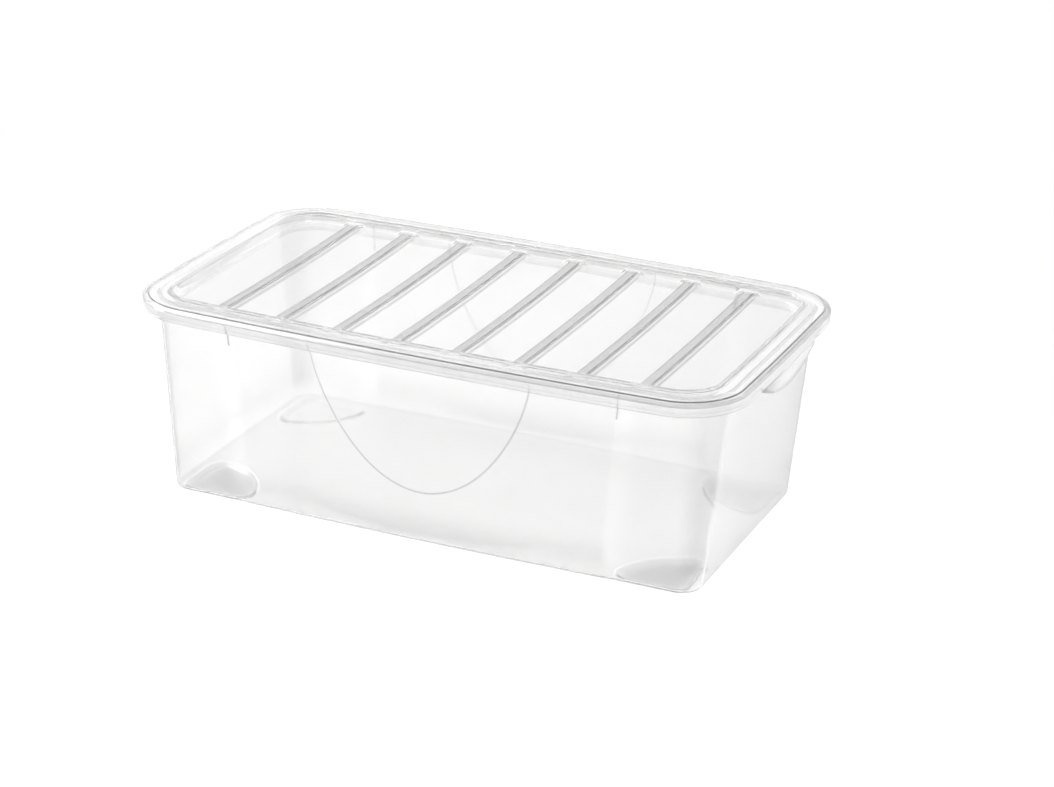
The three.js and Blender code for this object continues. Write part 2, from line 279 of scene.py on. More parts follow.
# distance outside the overlap of two shapes, with their meeting corner rounded off
def makeRoundJoinGroup():
    group = bpy.data.node_groups.new("roundJoin", "ShaderNodeTree")
    for name in ("First", "Second", "Radius"):
        group.interface.new_socket(name, in_out="INPUT", socket_type="NodeSocketFloat")
    group.interface.new_socket("Distance", in_out="OUTPUT", socket_type="NodeSocketFloat")
    given = group.nodes.new("NodeGroupInput").outputs
    first = mathNode(group, "ADD", given["First"], given["Radius"])
    second = mathNode(group, "ADD", given["Second"], given["Radius"])
    inner = mathNode(group, "MINIMUM", mathNode(group, "MAXIMUM", first, second), 0)
    corner = group.nodes.new("ShaderNodeCombineXYZ")
    group.links.new(mathNode(group, "MAXIMUM", first, 0), corner.inputs["X"])
    group.links.new(mathNode(group, "MAXIMUM", second, 0), corner.inputs["Y"])
    outer = group.nodes.new("ShaderNodeVectorMath")
    outer.operation = "LENGTH"
    group.links.new(corner.outputs["Vector"], outer.inputs[0])
    total = mathNode(group, "ADD", inner, outer.outputs["Value"])
    result = group.nodes.new("NodeGroupOutput")
    group.links.new(mathNode(group, "SUBTRACT", total, given["Radius"]), result.inputs["Distance"])
    return group


mouldingGroup = makeMouldingGroup()
roundJoinGroup = makeRoundJoinGroup()


# distance outside the nearest foot in metres, folded height, and how strong that foot's pad of painted
# contact shade is
def footDistanceNodes(tree, s):
    def join(first, second, radius):
        node = tree.nodes.new("ShaderNodeGroup")
        node.node_tree = roundJoinGroup
        node.inputs["Radius"].default_value = radius * mm
        tree.links.new(first, node.inputs["First"])
        tree.links.new(second, node.inputs["Second"])
        return node.outputs["Distance"]

    endX, sideY = footCorner(s)
    place = tree.nodes.new("ShaderNodeTexCoord")
    folded = tree.nodes.new("ShaderNodeVectorMath")
    folded.operation = "ABSOLUTE"
    split = tree.nodes.new("ShaderNodeSeparateXYZ")
    tree.links.new(place.outputs["Object"], folded.inputs[0])
    tree.links.new(folded.outputs["Vector"], split.inputs[0])
    x = mathNode(tree, "SUBTRACT", split.outputs["X"], endX * mm)
    y = mathNode(tree, "SUBTRACT", split.outputs["Y"], sideY * mm)
    squared = mathNode(tree, "ADD", mathNode(tree, "MULTIPLY", x, x), mathNode(tree, "MULTIPLY", y, y))
    disc = mathNode(tree, "SUBTRACT", mathNode(tree, "SQRT", squared), s["footRadius"] * mm)
    distance = join(join(x, y, s["footOuterCorner"]), disc, s["footInnerCorner"])
    plain = tree.nodes.new("ShaderNodeSeparateXYZ")
    tree.links.new(place.outputs["Object"], plain.inputs[0])
    blend = s["padBlend"] * mm
    backPadShade = addNode(tree, "ShaderNodeMapRange", From_Min=-blend, From_Max=blend)
    backPadShade.inputs["To Min"].default_value = s["backLeftPadShade"]
    backPadShade.inputs["To Max"].default_value = s["backRightPadShade"]
    tree.links.new(plain.outputs["X"], backPadShade.inputs["Value"])
    padShadeShare = addNode(tree, "ShaderNodeMapRange", From_Min=-blend, From_Max=blend, To_Min=1)
    tree.links.new(plain.outputs["Y"], padShadeShare.inputs["Value"])
    tree.links.new(backPadShade.outputs["Result"], padShadeShare.inputs["To Max"])
    return distance, split.outputs["Z"], padShadeShare.outputs["Result"]


# frosted pad with fine rings on each foot, darkened as painted contact shade, set off by a clear outline
def addFootPads(tree, s, frostAndShadeMask, shadeLineMask):
    def fade(value, span, **inputs):
        node = addNode(tree, "ShaderNodeMapRange", From_Min=span[0] * mm, From_Max=span[1] * mm, **inputs)
        tree.links.new(value, node.inputs["Value"])
        return node

    distance, height, padShadeShare = footDistanceNodes(tree, s)
    low = mathNode(tree, "LESS_THAN", height, s["padTop"] * mm)
    above = mathNode(tree, "SUBTRACT", 1, low)
    pad = fade(distance, s["padFade"]).outputs["Result"]
    middle = fade(distance, s["padMiddle"], To_Min=s["padEdge"])
    middle.interpolation_type = "SMOOTHSTEP"
    padShade = mathNode(tree, "MULTIPLY", pad, middle.outputs["Result"])
    padShadeMask = mathNode(tree, "MULTIPLY", mathNode(tree, "MULTIPLY", padShade, low), padShadeShare)
    frostAndShadeMask = mathNode(tree, "MAXIMUM", frostAndShadeMask, padShadeMask)
    outline = fade(mathNode(tree, "ABSOLUTE", distance), s["padOutline"]).outputs["Result"]
    frostAndShadeMask = mathNode(tree, "MULTIPLY", frostAndShadeMask, mathNode(tree, "MAXIMUM", outline, above))
    for depth, darkness in s["padLines"]:
        off = mathNode(tree, "ABSOLUTE", mathNode(tree, "ADD", distance, depth * mm))
        ring = fade(off, s["padLineFade"], To_Max=darkness).outputs["Result"]
        shown = mathNode(tree, "MULTIPLY", mathNode(tree, "MULTIPLY", ring, low), padShadeShare)
        shadeLineMask = mathNode(tree, "MAXIMUM", shadeLineMask, shown)
    return frostAndShadeMask, shadeLineMask


tubLook = {
    "name": "tubPlastic",
    "light": (1, 1, 1, 1),
    "dull": (0.975, 0.975, 0.975, 1),
    "glossLow": 0.02,
    "glossHigh": 0.07,
    "shadowTint": (0.96, 0.96, 0.96, 1),
    "wave": 0.0004,
    "waveStrength": 0.35,
    "clearness": 0.9,
    "ior": 1.42,
    # line and rim colours are painted shade: dark lines at edges and steps, and grey at grazing angles
    "line": (0.35, 0.35, 0.35, 1),
    "rim": (0.25, 0.25, 0.25, 1),
    "grazingShadeStart": 0.72,
    "grazingShadeEnd": 0.84,
    "frostGloss": 0.06,
    "grain": 1.5,
    # frost colour, which also serves as painted shade
    "frostedShade": (0.57, 0.57, 0.57, 1),
}
lidLook = {
    "name": "lidPlastic",
    "light": (0.95, 0.95, 0.95, 1),
    "dull": (0.92, 0.92, 0.92, 1),
    "glossLow": 0.015,
    "glossHigh": 0.05,
    "shadowTint": (0.97, 0.97, 0.97, 1),
    "wave": 0.0003,
    "waveStrength": 0.35,
    "clearness": 0.9,
    "ior": 1.45,
    # line and rim colours are painted shade: dark lines at edges and steps, and grey at grazing angles
    "line": (0.14, 0.14, 0.14, 1),
    "rim": (0.12, 0.12, 0.12, 1),
    "grazingShadeStart": 0.55,
    "grazingShadeEnd": 1,
    "frostGloss": 0.1,
    "grain": 1.2,
    # frost colour, which also serves as painted shade
    "frostedShade": (0.62, 0.62, 0.62, 1),
}


# clear plastic; the meshes' attributes place its painted shade lines, its frost mixed with painted shade,
# and the painted grey shade at grazing angles
def makeClearPlastic(look, feet=None):
    material = bpy.data.materials.new(look["name"])
    material.use_nodes = True
    tree = material.node_tree
    tree.nodes.clear()
    links = tree.links
    marks = tree.nodes.new("ShaderNodeGroup")
    marks.node_tree = mouldingGroup
    marks.inputs["Gloss Low"].default_value = look["glossLow"]
    marks.inputs["Gloss High"].default_value = look["glossHigh"]
    bump = addNode(tree, "ShaderNodeBump", Strength=look["waveStrength"], Distance=look["wave"])
    links.new(marks.outputs["Height"], bump.inputs["Height"])
    shadeLineMask = vertexMask(tree, "shadeLine")
    frostAndShadeMask = vertexMask(tree, "frostAndShade")
    if feet:
        frostAndShadeMask, shadeLineMask = addFootPads(tree, feet, frostAndShadeMask, shadeLineMask)
    evenGrain = 1 - look["grain"] / 2
    speckle = mathNode(tree, "MULTIPLY_ADD", marks.outputs["Grain"], look["grain"], evenGrain)
    frostAndShadeMask = mathNode(tree, "MULTIPLY", frostAndShadeMask, speckle)
    # painted shade: the colour turns grey where the surface turns away at grazing angles
    facing = addNode(tree, "ShaderNodeLayerWeight", Blend=0.5)
    grazing = addNode(tree, "ShaderNodeMapRange", From_Min=look["grazingShadeStart"], From_Max=look["grazingShadeEnd"])
    links.new(facing.outputs["Facing"], grazing.inputs["Value"])
    grazingShadeMask = mathNode(tree, "MULTIPLY", grazing.outputs["Result"], vertexMask(tree, "grazingShadeShare"))
    tone = mixColour(tree, marks.outputs["Tone"], look["dull"], look["light"])
    tone = mixColour(tree, frostAndShadeMask, tone, look["frostedShade"])
    tone = mixColour(tree, shadeLineMask, tone, look["line"])
    tone = mixColour(tree, grazingShadeMask, tone, look["rim"])
    gloss = mathNode(tree, "MULTIPLY_ADD", frostAndShadeMask, look["frostGloss"], marks.outputs["Roughness"])
    plastic = addNode(tree, "ShaderNodeBsdfPrincipled", IOR=look["ior"])
    plastic.inputs["Transmission Weight"].default_value = look["clearness"]
    links.new(tone, plastic.inputs["Base Color"])
    links.new(gloss, plastic.inputs["Roughness"])
    links.new(bump.outputs["Normal"], plastic.inputs["Normal"])
    clear = addNode(tree, "ShaderNodeBsdfTransparent", Color=look["shadowTint"])
    path = tree.nodes.new("ShaderNodeLightPath")
    choose = tree.nodes.new("ShaderNodeMixShader")
    links.new(path.outputs["Is Shadow Ray"], choose.inputs["Fac"])
    links.new(plastic.outputs["BSDF"], choose.inputs[1])
    links.new(clear.outputs["BSDF"], choose.inputs[2])
    output = tree.nodes.new("ShaderNodeOutputMaterial")
    links.new(choose.outputs["Shader"], output.inputs["Surface"])
    return material


# lid; the profiles run from the recess over the edge and back underneath
lidShape = {
    "wall": 2,
    "edgeTop": 3.9,  # below the crest
    "edgeRound": 2.5,
    "edgeTurns": (0, 18, 36, 54, 72, 90),
    "bandWidth": 5.5,
    "stepHeight": 0.8,
    "stepStart": (0.9, 0.5),  # distance from the band, painted shade line
    "stepRows": (  # distance from the band, share of the step's height, painted shade line, share of the edge's painted shade
        (0.45, 1, 1, 0),
        (0.2, 0.75, 1, 0),
        (0, 0.1875, 1, 0),
        (-0.3, 0, 0.35, 1),
        (-1, 0, 0, 1),
    ),
    "borderWidth": 28,
    "borderInsets": (24, 20, 16, 12, 9, 7.3),
    "crown": 0.25,
    # darkness of the painted shade line along the crest
    "crestLine": 0.15,
    "crestRound": ((0.25, 1.9), (0, 1.1), (-0.4, 0.5), (-0.95, 0.14), (-1.7, 0.02)),  # inset, drop
    "crestLineRow": 3,
    "recessDepth": 9.7,
    "footInset": 31.6,
    "footRound": ((0, 0), (1, 0.2), (1.7, 0.9), (2.1, 2.1)),  # distance from the foot, rise
    "wallMiddle": (0.6, 0.6),  # distance from the crest, share of the height
    "skirtTop": 0.6,
    "skirtLow": 2,
    "skirtRound": 0.6,
    "skirtCorner": 0.18,
    "underEdge": ((0, 4), (0, 1), (0.3, 0.25), (1, -0.1)),
    "underBorder": (9, 14, 20),
    "underBorderDrop": 0.35,
    "underCrest": ((1, 0.4), (0.3, 0.8), (0, 1.6)),
    "underWall": (0.5, 0.5, -0.5),
    "underFoot": ((3.8, 0.4), (3, -1.1), (1.6, -1.85), (0, -2)),
    "fieldSag": 2.5,
    "sagFlatness": 6,
    "barCount": 8,
    "barPitch": 60,
    "barFoot": 15,
    "barTop": 9,
    "barHeight": 4,
    "pocketCorner": 8,
    "barOffsets": (1.5, 3, 3.8, 4.5, 5.2, 6, 6.8, 7.5, 8.3, 10, 12, 14.5, 18, 23),
    "endSteps": 8,
    "arcSteps": 14,
    "tailShares": (0.66, 0.33, 0),
    "rowCrowding": 4,
    "capSteps": 5,
    "borderFrost": 0.05,
    # painted shade darkens the skirt
    "skirtShade": 0.3,
    "skirtTopShade": 0.1,
    # painted shade darkens the edge band towards the +x end, away from the key lamp
    "edgeSideShade": 1.1,
    "edgeSideShadeStart": -230,
    "fieldFrost": 0.17,
    "endFrost": 0.28,
    "endFrostStart": 60,
    "endFrostRun": 190,
    "barFrost": 0.95,
    "barFrostFade": 0.6,
    # darkness of the painted shade lines at the bars and the skirt
    "barLine": 0.78,
    "barLineHalf": 0.8,
    "barFootLine": 0.5,
    "barFootLineHalf": 0.9,
    "skirtLine": 0.3,
    "skirtFootLine": 0.4,
}


def lidStations(s):
    quarter = [("end", i / s["endSteps"]) for i in range(s["endSteps"])]
    quarter += [("arc", i / s["arcSteps"]) for i in range(s["arcSteps"] + 1)]
    xs = {0}
    for bar in range(s["barCount"] // 2):
        centre = (bar + 0.5) * s["barPitch"]
        xs.add(centre)
        xs.add(centre + s["barPitch"] / 2)
        for offset in s["barOffsets"]:
            xs.add(centre - offset)
            xs.add(centre + offset)
    xs = sorted((x for x in xs if x < plan["tailStart"]), reverse=True)
    quarter += [("tail", share) for share in s["tailShares"]]
    quarter += [("x", x) for x in xs]
    return quarter, s["endSteps"] + s["arcSteps"]


# level of the recessed field: a shallow dish of pockets with round corners between raised bars
def fieldLevel(s, x, y):
    top = lidHigh.z / mm
    halfLength = plan["halfLength"] - s["borderWidth"]
    halfWidth = plan["halfWidth"] - s["borderWidth"]
    dish = max(0, 1 - (y / halfWidth) ** 2) * max(0, 1 - (x / halfLength) ** s["sagFlatness"])
    outermost = s["barCount"] / 2 * s["barPitch"]
    pocketHalf = (s["barPitch"] - s["barFoot"]) / 2
    off = abs((abs(x) + s["barPitch"] / 2) % s["barPitch"] - s["barPitch"] / 2)
    if abs(x) > outermost - s["barPitch"] / 2 + s["barFoot"] / 2 + s["pocketCorner"]:
        off = 0
    edgeY = borderPoint("x", min(abs(x), plan["tailStart"]), s["footInset"]).y
    corner = s["pocketCorner"]
    cornerX = max(0, off - pocketHalf + corner)
    cornerY = max(0, abs(y) - edgeY + corner)
    outside = math.hypot(cornerX, cornerY) - corner
    flank = (s["barFoot"] - s["barTop"]) / 2
    lift = s["barHeight"] * ease(outside / flank)
    return top - s["recessDepth"] - s["fieldSag"] * dish + lift


# painted shade lines along the bars' edges and feet, and frost on their tops and in the field
def barShadeAndFrost(s, x, y):
    outermost = (s["barCount"] - 1) / 2 * s["barPitch"]
    off = abs(abs(x) % s["barPitch"] - s["barPitch"] / 2)
    haze = mix(s["fieldFrost"], s["endFrost"], ease((abs(x) - s["endFrostStart"]) / s["endFrostRun"]))
    if abs(x) > outermost + s["barPitch"] / 2:
        return 0, haze
    edgeY = borderPoint("x", abs(x), s["footInset"]).y
    inside = ease((edgeY - abs(y)) / s["pocketCorner"])
    half = s["barTop"] / 2
    line = s["barLine"] * max(0, 1 - abs(off - half) / s["barLineHalf"])
    foot = s["barFootLine"] * max(0, 1 - abs(off - s["barFoot"] / 2) / s["barFootLineHalf"])
    frostAndShade = s["barFrost"] * ease((half + s["barLineHalf"] - off) / s["barFrostFade"])
    return max(line, foot) * inside, max(haze, frostAndShade * inside)


def makeLid(s, material):
    top = lidHigh.z / mm
    low = lidLow.z / mm
    edge = top - s["edgeTop"]
    wall = s["wall"]
    band = s["bandWidth"]
    width = s["borderWidth"]
    foot = s["footInset"]
    slope = (top - edge - s["stepHeight"]) / (width - band)
    bm = bmesh.new()
    shadeLineLayer = bm.verts.layers.float.new("shadeLine")
    frostAndShadeLayer = bm.verts.layers.float.new("frostAndShade")
    grazingShadeLayer = bm.verts.layers.float.new("grazingShadeShare")
    rows = []

    def add(ring, line=0, frostAndShade=0, rim=0, edgeSideShadeShare=0):
        rows.append((ring, line, frostAndShade, rim, edgeSideShadeShare))

    def at(inset, z):
        return lambda kind, value: (*borderPoint(kind, value, inset), z)

    # ring whose level lies between the foot of the recess wall and its crest
    def wallRing(inset, share, rise):
        def ring(kind, value):
            x, y = borderPoint(kind, value, inset)
            footX, footY = borderPoint(kind, value, foot)
            return x, y, mix(fieldLevel(s, footX, footY), top, share) + rise
        return ring

    def borderZ(inset):
        share = (inset - band) / (width - band)
        return edge + s["stepHeight"] + slope * (inset - band) + 4 * s["crown"] * share * (1 - share)

    # upper side, from the foot of the recess out to the edge
    for inset, rise in s["footRound"]:
        add(wallRing(foot - inset, 0, rise))
    inset, share = s["wallMiddle"]
    add(wallRing(width + inset, share, 0))
    # painted shade lines run along the crest, the step and the skirt; the edge's round-over gets painted
    # grazing shade
    for index, (inset, drop) in enumerate(s["crestRound"]):
        add(at(width + inset, top - drop), s["crestLine"] if index == s["crestLineRow"] else 0)
    for inset in s["borderInsets"]:
        add(at(inset, borderZ(inset)), 0, s["borderFrost"])
    inset, line = s["stepStart"]
    add(at(band + inset, borderZ(band + inset)), line)
    for inset, share, line, edgeSideShadeShare in s["stepRows"]:
        add(at(band + inset, edge + s["stepHeight"] * share), line, edgeSideShadeShare=edgeSideShadeShare)
    for turn in s["edgeTurns"]:
        angle = math.radians(turn)
        inset = s["edgeRound"] * (1 - math.sin(angle))
        drop = s["edgeRound"] * (1 - math.cos(angle))
        onSkirt = turn == s["edgeTurns"][-1]
        line = s["skirtLine"] if onSkirt else 0
        add(at(inset, edge - drop), line, rim=1 if turn else 0, edgeSideShadeShare=0 if onSkirt else 1)

    # skirt, down its outside and up its inside
    # painted shade darkens the skirt
    add(at(0, edge - s["edgeRound"] - s["skirtTop"]), 0, s["skirtTopShade"])
    add(at(0, low + s["skirtLow"]), 0, s["skirtShade"])
    add(at(0, low + s["skirtRound"]), 0, s["skirtShade"])
    r, corner = s["skirtRound"], s["skirtCorner"]
    for inset, rise in ((corner, corner), (r, 0), (wall - r, 0), (wall - corner, corner)):
        add(at(inset, low + rise), s["skirtFootLine"])
    add(at(wall, low + r))

    # lower side, from the edge back to the foot of the recess
    for inset, drop in s["underEdge"]:
        add(at(wall + inset, edge - wall - drop))
    for inset in s["underBorder"]:
        add(at(inset, borderZ(inset) - wall - s["underBorderDrop"]))
    for inset, drop in s["underCrest"]:
        add(at(width - wall - inset, top - wall - drop))
    inset, share, rise = s["underWall"]
    add(wallRing(width - wall + inset, share, rise))
    for inset, rise in s["underFoot"]:
        add(wallRing(foot - inset, 0, rise))

    stations, cornerIndex = lidStations(s)
    stack = stackRings(bm, wholeLoop(stations), [row[0] for row in rows])
    rowShares = crowdedShares(cornerIndex, s["rowCrowding"])
    capShares = evenShares(s["capSteps"])
    fillRing(bm, stack[0], cornerIndex, rowShares, capShares, lambda x, y: fieldLevel(s, x, y))
    fillRing(bm, stack[-1], cornerIndex, rowShares, capShares, lambda x, y: fieldLevel(s, x, y) - wall)
    for vert in bm.verts:
        vert[shadeLineLayer], vert[frostAndShadeLayer] = barShadeAndFrost(s, vert.co.x, vert.co.y)
    # painted shade: the edge band darkens towards the +x end
    edgeRun = plan["halfLength"] - s["edgeSideShadeStart"]
    for verts, (ring, line, frostAndShade, rim, edgeSideShadeShare) in zip(stack, rows):
        for vert in verts:
            across = max(0, (vert.co.x - s["edgeSideShadeStart"]) / edgeRun)
            vert[shadeLineLayer] = max(vert[shadeLineLayer], line)
            vert[frostAndShadeLayer] = frostAndShade + s["edgeSideShade"] * edgeSideShadeShare * across
            vert[grazingShadeLayer] = rim
    finishMesh(bm, "lid_shell", "lid", material)


# tub
tubShape = {
    "wall": 2,
    "floor": 2,
    "endOverhang": 16.3,
    "sideOverhang": 21.8,
    "endDraft": math.radians(5.1),
    "sideDraft": math.radians(4.25),
    "topCorner": 41,
    "bottomCorner": 21,
    "bottomRound": 4,
    "roundTurns": (90, 67.5, 45, 22.5),
    "middleBow": 2.8,
    "columnSetback": 1.2,
    "rimShelf": 12,
    "rimRound": ((0, 0.7), (0.2, 0.2), (0.7, 0)),  # distance from the inner face, drop
    "shelfInsets": (3, 1),  # distances from the lip
    "shelfRun": 3,
    "lipTop": ((0.3, 0.2), (0, 1)),  # distance from the lip, drop
    "lipTopInset": 2.5,
    "lipTopRise": 9.6,
    "lipInset": 2.4,
    "lipHeight": 7,
    "lipRows": (  # distance from the lip, inset at the grip, rise, rise at the grip, follows its edge
        (0, 2.4, 1.4, 0.3, False),
        (0, 2.1, 1.1, 0.05, False),
        (0, 0.5, 0.9, 0, False),
        (0, 0.25, 0.7, -0.3, False),
        (0, 0.25, 0.5, 0.2, True),
        (0.15, 0.4, 0.15, -0.15, True),
        (0.5, 0.75, 0, -0.3, True),
        (1.5, 3.6, 0, -0.3, True),
        (1.85, 4, 0.15, -0.15, True),
        (2, 4.2, 0.5, 0.2, True),
    ),
    "lipInnerRound": ((0, 0.7), (0.5, 0.1)),
    "flangeRound": 2,
    "roundMiddle": 0.3,
    "moonHalf": 110.5,
    "moonDepth": 131.5,
    "moonFullness": 1.44,
    "moonStep": 1,
    "moonRun": 1.6,
    "bandMoonDrop": 1.6,
    "bandStepDrop": 1.1,
    "ribDrop": 19,
    "ribSlack": 0.5,
    "ribTop": 3.2,
    "ribBottom": 3,
    "ribStart": 0.025,
    "ribEnd": 0.125,
    "ribSide": 0.003,
    "gripHalf": 75,
    "gripDepth": 18,
    "gripBlend": 4,
    "gripGap": 0.4,  # below the lid's skirt
    "gripEdgeRows": (5, 6),
    "footHeight": 3,
    "footRadius": 76,
    "footInnerCorner": 20,
    "footOuterCorner": 14,
    "footFromEnd": 9,
    "footFromColumn": 4.2,
    "footSlope": 7,
    "padTop": 5.6,
    "padEdge": 0.55,
    "padFade": (-0.8, -3),
    "padMiddle": (-1, -20),
    "padOutline": (0.4, 1.2),
    "padBlend": 20,
    # the back feet's painted contact shade is weaker, the back-left one most
    "backLeftPadShade": 0.35,
    "backRightPadShade": 0.9,
    "padLines": ((1.8, 0.35), (5.5, 0.25)),  # depth inside the foot, darkness
    "padLineFade": (0.8, 0.2),
    "floorFrost": 0.46,
    "floorFade": 3,
    "wallFrost": 0.09,
    # the strip beside the crease is left clear, lighter as painted light
    "stripEdge": 0.05,  # across a wall, 0 is the crease and 1 the end of its strip
    "stripEnd": 1.6,
    "stripFade": 1.1,
    "endFrost": 0.06,
    "endStart": 4.2,
    "endRun": 1.2,
    # painted shade darkens the wall's rounded corners
    "cornerShade": 0.55,
    "cornerRise": 0.15,
    "cornerFall": 0.6,
    "lowFrost": 0.25,
    "lowHeight": 60,
    "lowStart": 0.5,
    "lowRun": 5,
    "panelLowFrost": 0.42,
    "panelLowHeight": 46,
    # darkness of the painted shade lines at the half-moon's step, the floor's crease, the ribs and the
    # grips; the back wall's is paler
    "frontLine": 0.38,
    "backLine": 0.45,
    "floorLine": 0.2,
    "floorLineRow": 1,
    "ribLine": 0.6,
    "gripLine": 0.8,
    "moonStations": (
        118, 112, 110.75, 110.5, 110.3, 109.7, 109.15, 108.9, 108.6, 108.1, 107.2, 106, 104.5, 102.5, 100,
        97, 93.5, 89, 84, 78, 71, 64, 56, 48, 40, 32, 24, 16, 8, 0,
    ),
    "endSteps": 30,
    "arcSteps": 18,
    "columnSteps": 28,
    "stripSteps": (1, 0.85, 0.7, 0.55, 0.4, 0.25),
    "panelLead": 0.985,
    "panelSteps": 8,
    "capSteps": 8,
    "lowerShares": (
        0.006, 0.03, 0.07, 0.1, 0.1334, 0.1415, 0.17, 0.22, 0.3, 0.4, 0.5, 0.6, 0.7, 0.8, 0.9, 1,
    ),
    "upperShares": (0.006, 0.2, 0.4, 0.6, 0.8, 1),
}


def tubStations(s):
    quarter = [("end", i / s["endSteps"]) for i in range(s["endSteps"])]
    quarter += [("arc", i / s["arcSteps"]) for i in range(s["arcSteps"] + 1)]
    quarter += [("column", 1 - i / s["columnSteps"]) for i in range(1, s["columnSteps"])]
    strip = [*s["stripSteps"], s["ribEnd"], s["ribEnd"] - s["ribSide"]]
    strip += [s["ribStart"] + s["ribSide"], s["ribStart"], 0]
    quarter += [("strip", value) for value in strip]
    quarter.append(("panel", s["panelLead"]))
    quarter += [("panel", 1 - i / s["panelSteps"]) for i in range(1, s["panelSteps"])]
    quarter += [("x", x) for x in s["moonStations"]]
    return quarter, s["endSteps"] + s["arcSteps"]


# point on the wall's outline at a height, moved outwards by an offset
def wallPoint(s, kind, value, z, offset):
    skirtBottom = lidLow.z / mm
    drop = skirtBottom - z
    share = (z - s["footHeight"]) / (skirtBottom - s["footHeight"])
    halfLength = plan["halfLength"] - s["endOverhang"] - drop * math.tan(s["endDraft"])
    halfWidth = plan["halfWidth"] - s["sideOverhang"] - drop * math.tan(s["sideDraft"]) + offset
    radius = mix(s["bottomCorner"], s["topCorner"], share) + offset
    crease = halfLength - plan["columnWidth"]
    halfLength += offset
    columnY = halfWidth - s["middleBow"] - s["columnSetback"]
    centre = Vector((halfLength - radius, columnY - radius))
    if kind == "end":
        return Vector((halfLength, centre.y * value))
    if kind == "arc":
        angle = value * math.pi / 2
        return centre + radius * Vector((math.cos(angle), math.sin(angle)))
    x = sideX(kind, value, crease, centre.x)
    if kind == "column":
        return Vector((x, columnY))
    if kind == "strip":
        return Vector((x, columnY + s["columnSetback"] * (1 - value)))
    return Vector((x, halfWidth - s["middleBow"] * (x / crease) ** 2))


# height of the half-moon's edge at a station, or a level in the narrow band under the rim beside it
def moonLevel(s, x, shrink, beside):
    half = s["moonHalf"] - shrink
    if x > half:
        return beside
    fall = max(0, 1 - (x / half) ** 2) ** (1 / s["moonFullness"])
    return lidLow.z / mm - (s["moonDepth"] - shrink) * fall


# where a foot's two straight sides meet
def footCorner(s):
    corner = wallPoint(s, "arc", 0, s["footHeight"], 0)
    side = wallPoint(s, "column", 1, s["footHeight"], 0)
    return corner.x - s["footFromEnd"], side.y - s["footFromColumn"]


# how far a point lies outside a foot's outline, negative inside it
def footDistance(s, x, y):
    def join(first, second, radius):
        first += radius
        second += radius
        return min(max(first, second), 0) + math.hypot(max(first, 0), max(second, 0)) - radius

    endX, sideY = footCorner(s)
    pastEnd, pastSide = abs(x) - endX, abs(y) - sideY
    square = join(pastEnd, pastSide, s["footOuterCorner"])
    disc = math.hypot(pastEnd, pastSide) - s["footRadius"]
    return join(square, disc, s["footInnerCorner"])


# frost on a wall: left clear as painted light on the strip beside the crease, denser at the ends and low
# down
def wallTone(s, x, z):
    crease = wallPoint(s, "strip", 0, z, 0).x
    across = (abs(x) - crease) / plan["creaseStrip"]
    onLitStrip = ease((across + s["stripEdge"]) / s["stripEdge"])
    onLitStrip *= ease((s["stripEnd"] - across) / s["stripFade"])
    onEnd = ease((across - s["endStart"]) / s["endRun"])
    onPanel = ease((s["lowStart"] - across) / s["lowStart"])
    low = ease((s["lowHeight"] - z) / s["lowHeight"]) * ease((across - s["lowStart"]) / s["lowRun"])
    panelLow = ease((s["panelLowHeight"] - z) / s["panelLowHeight"]) * onPanel
    plain = s["wallFrost"] * (1 - onLitStrip) + s["endFrost"] * onEnd
    return plain + s["lowFrost"] * low + s["panelLowFrost"] * panelLow


